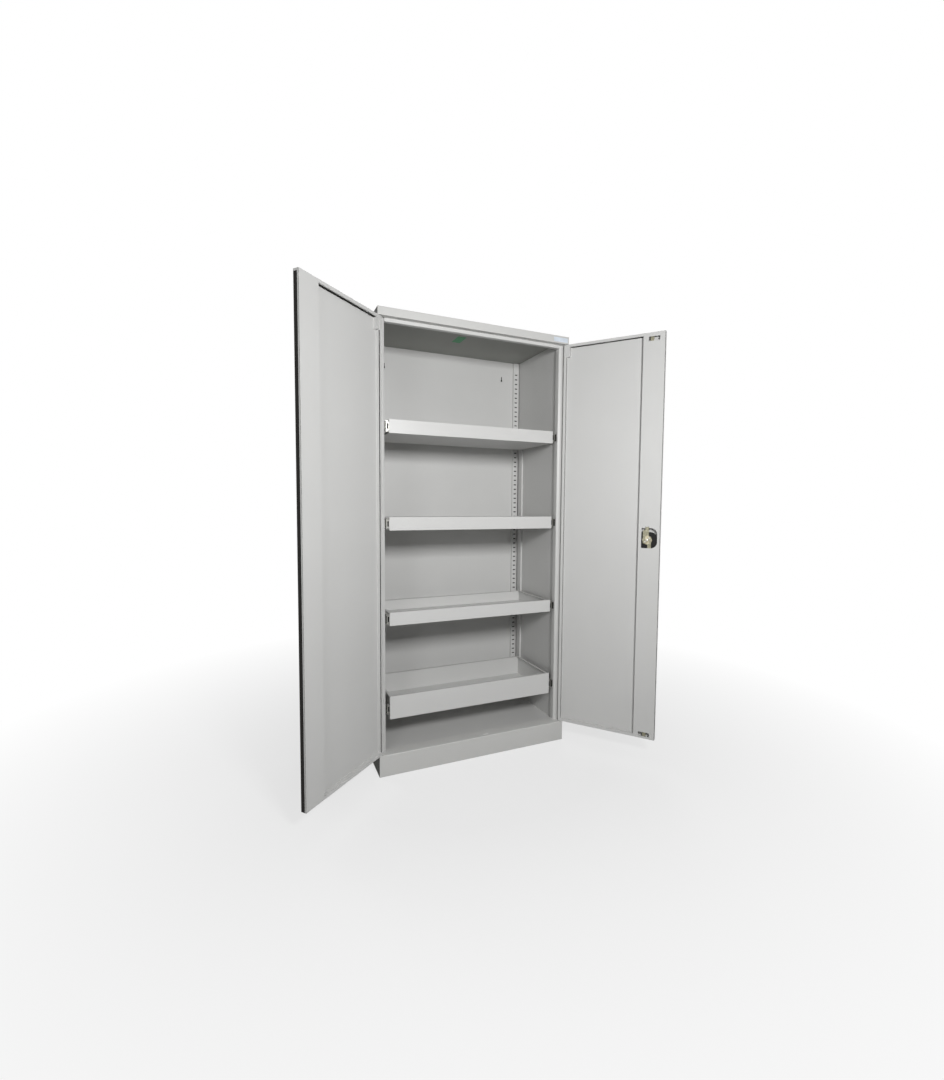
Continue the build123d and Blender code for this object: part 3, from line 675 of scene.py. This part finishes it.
class CABINET_OT_slide_fittings(bpy.types.Operator):
    """Add the ball rows, screws and plastic stops of the telescopic slides"""

    bl_idname = "cabinet.slide_fittings"
    bl_label = "Slide fittings"

    def execute(self, context):
        sizes = context.scene.cabinet_fitting
        screw = pan_head_screw(sizes.slide_screw)
        for name in TRAYS:
            low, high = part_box(name + "_slide_inner")
            level = (low.z + high.z) / 2
            half_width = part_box(name)[1].x
            self.ball_rows(name, half_width, level, sizes)
            self.front_stops(name, half_width, level, low.y)
            self.tray_screws(name, half_width, level, (low.y, high.y), screw)
            self.rear_buffers(name, half_width, level)
        remove(screw)
        return {"FINISHED"}

    def ball_rows(self, name, half_width, level, sizes):
        """Balls and their cages between the slide members, which move with the middle member."""
        bpy.ops.object.select_all(action="DESELECT")
        bpy.ops.mesh.primitive_ico_sphere_add(subdivisions=2, radius=sizes.ball / 2)
        ball = bpy.context.object
        bpy.ops.object.shade_smooth()
        runs = ((OUTER_BALLS_RISE, OUTER_BALLS_RUN), (INNER_BALLS_RISE, INNER_BALLS_RUN))
        balls = []
        cages = []
        for (rise, (start, end)), side, up in product(runs, (-1, 1), (-1, 1)):
            x = side * (half_width + BALLS_ACROSS)
            z = level + up * rise
            for i in range(int((end - start) / sizes.ball_pitch)):
                y = start + (i + 0.5) * sizes.ball_pitch
                balls.append(place_copy(ball, "ball", Matrix.Translation((x, y, z))))
            cage = new_block(
                "cage",
                (x - CAGE_HALF_WIDTH, start, z - CAGE_HALF_HEIGHT),
                (x + CAGE_HALF_WIDTH, end, z + CAGE_HALF_HEIGHT),
            )
            pick_faces(cage, TO_FRONT, TO_REAR)
            bpy.ops.mesh.inset(thickness=0.1 * MM)
            done_editing()
            cages.append(cage)
        remove(ball)
        balls = join(balls, name + "_slide_balls")
        finish_piece(balls, name + "_middle", "chrome")
        cages = join(cages, name + "_slide_cages")
        bevel_all(cages, 0.15 * MM, segments=1, angle=60)
        finish_piece(cages, name + "_middle", "zinc")

    def front_stops(self, name, half_width, level, front):
        """Black plastic plugs in the front ends of the inner members."""
        start, end = (front + behind for behind in STOP_BEHIND_FRONT)
        stops = []
        for side in (-1, 1):
            x = mirrored(side, half_width + STOP_ACROSS[0], half_width + STOP_ACROSS[1])
            low = (x[0], start, level - STOP_HALF_HEIGHT)
            high = (x[1], end, level + STOP_HALF_HEIGHT)
            stops.append(hollow_plug(low, high, rim=1.2 * MM, hollow=3 * MM, rounding=0.5 * MM))
        stops = join(stops, name + "_slide_stops")
        finish_piece(stops, name, "black_plastic")

    def rear_buffers(self, name, half_width, level):
        """Black plastic buffers in the rear ends of the outer members."""
        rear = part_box("slide_outers")[1].y
        start, end = (rear - before for before in BUFFER_BEFORE_REAR)
        buffers = []
        for side in (-1, 1):
            x = mirrored(side, half_width + BUFFER_ACROSS[0], half_width + BUFFER_ACROSS[1])
            low = (x[0], start, level - BUFFER_HALF_HEIGHT)
            high = (x[1], end, level + BUFFER_HALF_HEIGHT)
            buffers.append(hollow_plug(low, high, rim=1.5 * MM, hollow=4 * MM, rounding=0.6 * MM))
        buffers = join(buffers, name + "_slide_buffers")
        finish_piece(buffers, "cabinet", "black_plastic")

    def tray_screws(self, name, half_width, level, ends, screw):
        """Screws that hold the inner members to the tray."""
        front, rear = ends
        rows = [front + behind for behind in SCREWS_BEHIND_FRONT] + [rear - SCREW_BEFORE_REAR]
        screws = []
        for side, y in product((-1, 1), rows):
            place = Matrix.Translation((side * (half_width + SCREW_ACROSS), y, level)) @ towards((side, 0, 0))
            screws.append(place_copy(screw, "screw", place))
        finish_piece(join(screws, name + "_slide_screws"), name, "zinc")


# Door fittings, made on the shut doors and then swung open with them

# The light fold along each free edge starts at its own distance behind the front
FOLD_START = {"left": 17 * MM, "right": 5 * MM}
FOLD_X = (1.15 * MM, 1.5 * MM)
FOLD_END_GAP = 1 * MM
FOLD_FACE_GAP = 0.2 * MM
CAP_BELOW_TOP = 9 * MM

# Dark strips of painted shade, for the shade on the top and hinge walls of each recess, stand out from these
# walls
STRIP_STANDS_OUT = 0.6 * MM
STRIP_WALL_GAP = 0.05 * MM
TOP_STRIP_X = (96 * MM, 423 * MM)
TOP_STRIP_BEHIND_FRONT = (4 * MM, 16 * MM)
HINGE_STRIP_BEHIND_FRONT = (17.4 * MM, 21 * MM)
HINGE_STRIP_ABOVE_BOTTOM = 2 * MM
HINGE_STRIP_BELOW_TOP = 47 * MM

# The cam's boss and its pins end at these distances behind the front, with a clip on each pin
BOSS_END = 21 * MM
PIN_END = 19.45 * MM
CLIP_RADIUS = 3.9 * MM
CLIP_THICKNESS = 0.5 * MM


def raised_strip(name, low, high, facing, rim, rise):
    """A strip whose face in one direction has a raised middle."""
    strip = new_block(name, low, high)
    pick_faces(strip, facing)
    bpy.ops.mesh.inset(thickness=rim, depth=rise)
    done_editing()
    return strip


class CABINET_OT_door_fittings(bpy.types.Operator):
    """Add the doors' folded edges, dark strips of painted shade in the recesses, and the small pieces of the
    rod lock
    """

    bl_idname = "cabinet.door_fittings"
    bl_label = "Door fittings"

    def execute(self, context):
        for side in SIDES:
            self.free_edge(side)
        for side in SIDES:
            self.recess_shadow_strips(side)
        self.cam_screw(context.scene.cabinet_fitting)
        self.pin_clips()
        return {"FINISHED"}

    def free_edge(self, side):
        """The liner's fold over the inner part of the edge strip, with a cap at the top."""
        x = mirrored(SIDES[side], *FOLD_X)
        start = FRONT + FOLD_START[side]
        top = DOOR_TOP - FOLD_END_GAP
        edge = new_block(
            "edge",
            (x[0], start, DOOR_BOTTOM + FOLD_END_GAP),
            (x[1], FRONT + DOOR_DEPTH - FOLD_FACE_GAP, top),
        )
        cap = new_block(
            "cap",
            (x[0], FRONT + FOLD_FACE_GAP, DOOR_TOP - CAP_BELOW_TOP),
            (x[1], start + FOLD_FACE_GAP, top),
        )
        edge = join([edge, cap], "edge")
        bevel_all(edge, 0.12 * MM, segments=1)
        fold = place_copy(edge, side + "_door_edge_fold", door_swing(side))
        remove(edge)
        finish_piece(fold, side + "_door", "inner_steel")

    def recess_shadow_strips(self, side):
        """Dark strips of painted shade on the top wall and the hinge wall of the door's recess, for the shade
        there.
        """
        out = SIDES[side]
        x = mirrored(out, *TOP_STRIP_X)
        start, end = (FRONT + behind for behind in TOP_STRIP_BEHIND_FRONT)
        low = (x[0], start, RECESS_TOP - STRIP_STANDS_OUT)
        high = (x[1], end, RECESS_TOP - STRIP_WALL_GAP)
        along_top = raised_strip("along_top", low, high, DOWN, rim=1.2 * MM, rise=0.2 * MM)
        x = mirrored(out, RECESS_SIDE - STRIP_STANDS_OUT, RECESS_SIDE - STRIP_WALL_GAP)
        start, end = (FRONT + behind for behind in HINGE_STRIP_BEHIND_FRONT)
        low = (x[0], start, RECESS_BOTTOM + HINGE_STRIP_ABOVE_BOTTOM)
        high = (x[1], end, RECESS_TOP - HINGE_STRIP_BELOW_TOP)
        upright = raised_strip("upright", low, high, (-out, 0, 0), rim=0.8 * MM, rise=0.1 * MM)
        pattern = join([along_top, upright], "strips")
        bevel_all(pattern, 0.1 * MM, segments=1)
        strips = place_copy(pattern, side + "_door_recess_strip", door_swing(side))
        remove(pattern)
        # The recess strips take the dark strip colour as painted shade
        finish_piece(strips, side + "_door", "seal")

    def cam_screw(self, sizes):
        """The head of the screw that holds the cam on the spindle."""
        screw = pan_head_screw(sizes.cam_screw)
        on_boss = Matrix.Translation((LOCK_X, FRONT + BOSS_END, LOCK_Z)) @ towards(TO_REAR)
        head = place_copy(screw, "cam_screw_head", door_swing("right") @ on_boss)
        remove(screw)
        finish_piece(head, "handle", "zinc")

    def pin_clips(self):
        """Round clips that keep the rods' feet on the pins of the cam."""
        pattern = new_disc("clip", CLIP_RADIUS, CLIP_THICKNESS, vertices=24)
        pick_faces(pattern, UP)
        bpy.ops.mesh.inset(thickness=0.9 * MM)
        bpy.ops.mesh.extrude_region_move(TRANSFORM_OT_translate={"value": (0, 0, 0.7 * MM)})
        bpy.ops.mesh.inset(thickness=0.6 * MM, depth=0.2 * MM)
        done_editing()
        bevel_all(pattern, 0.1 * MM, segments=1)
        pin_offset = PIN_ORBIT * math.cos(math.radians(PIN_ANGLE))
        clips = []
        for direction in (-1, 1):
            x = LOCK_X + direction * pin_offset
            z = LOCK_Z - direction * pin_offset
            on_pin = Matrix.Translation((x, FRONT + PIN_END, z)) @ towards(TO_REAR)
            clips.append(place_copy(pattern, "clip", door_swing("right") @ on_pin))
        remove(pattern)
        finish_piece(join(clips, "cam_pin_clips"), "handle", "zinc")


# Plates

PLATE_FROM_EDGE = 6 * MM
PLATE_BELOW_MIDDLE = 1 * MM
PLATE_THICKNESS = 0.35 * MM
PATCH_LEFT = -44 * MM
PATCH_BEHIND_FRONT = 130 * MM
PATCH_THICKNESS = 0.25 * MM


def round_corners(plate, thin_axis, radius):
    """Round the four corners of a thin plate, and its rims a little."""
    pick_edges(plate, thin_axis)
    bpy.ops.mesh.bevel(offset=radius, segments=5, affect="EDGES")
    done_editing()
    bevel_all(plate, 0.1 * MM, segments=1, angle=60)


class CABINET_OT_plates(bpy.types.Operator):
    """Add the blank plate on the fascia and the plain patch on the ceiling"""

    bl_idname = "cabinet.plates"
    bl_label = "Plates"

    def execute(self, context):
        colours = context.scene.cabinet_finish
        sizes = context.scene.cabinet_fitting
        for finish, colour in (("plate", colours.plate), ("patch", colours.patch)):
            values = {"Colour": rgba(colour), "Roughness": 0.45, "Grain Size": 700.0}
            finish_material(finish, MOULDED, values, relief=(0.05, 0.1 * MM))
        self.fascia_plate(sizes)
        self.ceiling_patch(sizes)
        return {"FINISHED"}

    def fascia_plate(self, sizes):
        """A blank plate at the right end of the fascia."""
        low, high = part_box("fascia")
        right = high.x - PLATE_FROM_EDGE
        middle = (low.z + high.z) / 2 - PLATE_BELOW_MIDDLE
        plate = new_block(
            "fascia_plate",
            (right - sizes.plate_width, low.y - PLATE_THICKNESS, middle - sizes.plate_height / 2),
            (right, low.y, middle + sizes.plate_height / 2),
        )
        round_corners(plate, thin_axis=1, radius=2 * MM)
        finish_piece(plate, "cabinet", "plate")

    def ceiling_patch(self, sizes):
        """A plain patch under the ceiling liner."""
        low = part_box("ceiling_liner")[0]
        front = low.y + PATCH_BEHIND_FRONT
        patch = new_block(
            "ceiling_patch",
            (PATCH_LEFT, front, low.z - PATCH_THICKNESS),
            (PATCH_LEFT + sizes.patch_width, front + sizes.patch_depth, low.z),
        )
        round_corners(patch, thin_axis=2, radius=3 * MM)
        finish_piece(patch, "cabinet", "patch")


# Studio

# Each lamp has a name, the setting of its power, a size, a place and the point that it faces
LAMPS = (
    ("key_lamp", "key", 0.4, (-0.2, -2.35, 1.75), (0, -0.1, 1.0)),
    ("fill_lamp", "fill", 0.6, (-1.8, -2.2, 1.5), (0, -0.1, 1.0)),
    ("rear_left_lamp", "rear", 1.4, (-2.2, 2.4, 1.9), (0, 0.1, 0.9)),
    ("rear_right_lamp", "rear", 1.4, (2.2, 2.4, 1.9), (0, 0.1, 0.9)),
)

# The floor is pure white beyond about 2.4 m and shows more of its own tone and the shadow nearer in
FLOOR_SIZE = 40
FADE_SCALE = (0.42, 0.42, 0.42)
FADE_END = 0.7
NEAR_WHITE_SHARE = 0.68

# The photograph's camera: place in metres, angles in degrees and focal length in pixels
CAMERA_PLACE = (-0.90795, -2.24232, 1.15323)
CAMERA_YAW = 23.357
CAMERA_PITCH = 3.473
CAMERA_ROLL = 0.364
SENSOR_WIDTH = 36
PHOTO_LONG_SIDE = 1080
PHOTO_FOCAL = 494.09
PHOTO_CENTRE_SHIFT = (0.00047, -0.00403)


def seen_directly(tree):
    """1 for what the camera sees, also in gloss or through glass, and 0 for other light."""
    rays = tree.nodes.new("ShaderNodeLightPath")
    seen = calculate(tree, "MAXIMUM", rays.outputs["Is Camera Ray"], rays.outputs["Is Glossy Ray"])
    return calculate(tree, "MAXIMUM", seen, rays.outputs["Is Transmission Ray"])


class CABINET_OT_stage(bpy.types.Operator):
    """Set up the floor, the lamps and the camera"""

    bl_idname = "cabinet.stage"
    bl_label = "Studio"

    def execute(self, context):
        settings = context.scene.cabinet_stage
        self.add_floor(settings)
        self.add_lamps(context, settings)
        self.add_world(context, settings)
        self.add_camera(context)
        context.scene.view_settings.view_transform = "Standard"
        return {"FINISHED"}

    def add_floor(self, settings):
        """A pale floor that takes the shadow and fades to pure white."""
        bpy.ops.object.select_all(action="DESELECT")
        bpy.ops.mesh.primitive_plane_add(size=FLOOR_SIZE)
        floor = bpy.context.object
        floor.name = "floor"
        material = bpy.data.materials.new("Floor")
        material.use_nodes = True
        tree = material.node_tree
        shader = tree.nodes["Principled BSDF"]
        shader.inputs["Base Color"].default_value = rgba(settings.floor)
        shader.inputs["Roughness"].default_value = 0.9
        shader.inputs["Specular IOR Level"].default_value = 0.1
        white = add_node(tree, "ShaderNodeEmission", values={"Color": (1, 1, 1, 1), "Strength": 1.0})
        place = tree.nodes.new("ShaderNodeTexCoord")
        size = add_node(tree, "ShaderNodeMapping", values={"Scale": FADE_SCALE})
        pool = add_node(tree, "ShaderNodeTexGradient", {"gradient_type": "SPHERICAL"})
        tree.links.new(place.outputs["Object"], size.inputs["Vector"])
        tree.links.new(size.outputs["Vector"], pool.inputs["Vector"])
        share = remap(tree, pool.outputs["Fac"], 0.0, FADE_END, 1.0, NEAR_WHITE_SHARE)
        mix = tree.nodes.new("ShaderNodeMixShader")
        tree.links.new(calculate(tree, "MULTIPLY", share, seen_directly(tree)), mix.inputs["Fac"])
        tree.links.new(shader.outputs["BSDF"], mix.inputs[1])
        tree.links.new(white.outputs["Emission"], mix.inputs[2])
        tree.links.new(mix.outputs["Shader"], tree.nodes["Material Output"].inputs["Surface"])
        floor.data.materials.append(material)

    def add_lamps(self, context, settings):
        """A soft lamp above the camera, a weak one at the front left and two behind."""
        for name, power, size, place, target in LAMPS:
            lamp = bpy.data.lights.new(name, "AREA")
            lamp.energy = getattr(settings, power)
            lamp.size = size
            holder = bpy.data.objects.new(name, lamp)
            context.scene.collection.objects.link(holder)
            holder.location = place
            aim = Vector(target) - Vector(place)
            holder.rotation_euler = aim.to_track_quat("-Z", "Y").to_euler()

    def add_world(self, context, settings):
        """Even light all round, seen as white."""
        world = bpy.data.worlds.new("Studio")
        context.scene.world = world
        world.use_nodes = True
        tree = world.node_tree
        background = tree.nodes["Background"]
        background.inputs["Color"].default_value = (1, 1, 1, 1)
        strength = remap(tree, seen_directly(tree), 0.0, 1.0, settings.ambient, 1.0)
        tree.links.new(strength, background.inputs["Strength"])

    def add_camera(self, context):
        """The camera at the photograph's place and angle."""
        yaw, pitch, roll = (math.radians(angle) for angle in (CAMERA_YAW, CAMERA_PITCH, CAMERA_ROLL))
        forward = Vector((math.sin(yaw) * math.cos(pitch), math.cos(yaw) * math.cos(pitch), -math.sin(pitch)))
        right = Vector((math.cos(yaw), -math.sin(yaw), 0))
        up = right.cross(forward)
        rolled_right = right * math.cos(roll) + up * math.sin(roll)
        rolled_up = up * math.cos(roll) - right * math.sin(roll)
        camera = bpy.data.cameras.new("camera")
        camera.sensor_width = SENSOR_WIDTH
        camera.lens = SENSOR_WIDTH * PHOTO_FOCAL / PHOTO_LONG_SIDE
        camera.shift_x, camera.shift_y = PHOTO_CENTRE_SHIFT
        holder = bpy.data.objects.new("camera", camera)
        context.scene.collection.objects.link(holder)
        columns = Matrix((rolled_right, rolled_up, -forward)).transposed().to_4x4()
        holder.matrix_world = Matrix.Translation(CAMERA_PLACE) @ columns
        context.scene.camera = holder


# Add-on

SETTINGS = {
    "cabinet_finish": CABINET_finish_settings,
    "cabinet_fitting": CABINET_fitting_settings,
    "cabinet_stage": CABINET_stage_settings,
}
OPERATORS = (
    CABINET_OT_finishes,
    CABINET_OT_slide_fittings,
    CABINET_OT_door_fittings,
    CABINET_OT_plates,
    CABINET_OT_stage,
)


class CABINET_PT_panel(bpy.types.Panel):
    """Buttons that dress the cabinet, in order, and their settings"""

    bl_idname = "CABINET_PT_panel"
    bl_label = "Safety Cabinet"
    bl_space_type = "VIEW_3D"
    bl_region_type = "UI"
    bl_category = "Cabinet"

    def draw(self, context):
        for operator in OPERATORS:
            self.layout.operator(operator.bl_idname)
        for name in SETTINGS:
            settings = getattr(context.scene, name)
            box = self.layout.box()
            for key in settings.__annotations__:
                box.prop(settings, key)


def register():
    """Register the settings, the operators and the panel."""
    for cls in (*SETTINGS.values(), *OPERATORS, CABINET_PT_panel):
        bpy.utils.register_class(cls)
    for name, cls in SETTINGS.items():
        setattr(bpy.types.Scene, name, bpy.props.PointerProperty(type=cls))


def unregister():
    """Remove what register added."""
    for name in SETTINGS:
        delattr(bpy.types.Scene, name)
    for cls in reversed((*SETTINGS.values(), *OPERATORS, CABINET_PT_panel)):
        bpy.utils.unregister_class(cls)


def main():
    """Dress the cabinet."""
    register()
    bpy.ops.cabinet.finishes()
    bpy.ops.cabinet.slide_fittings()
    bpy.ops.cabinet.door_fittings()
    bpy.ops.cabinet.plates()
    bpy.ops.cabinet.stage()


if __name__ == "__main__":
    main()
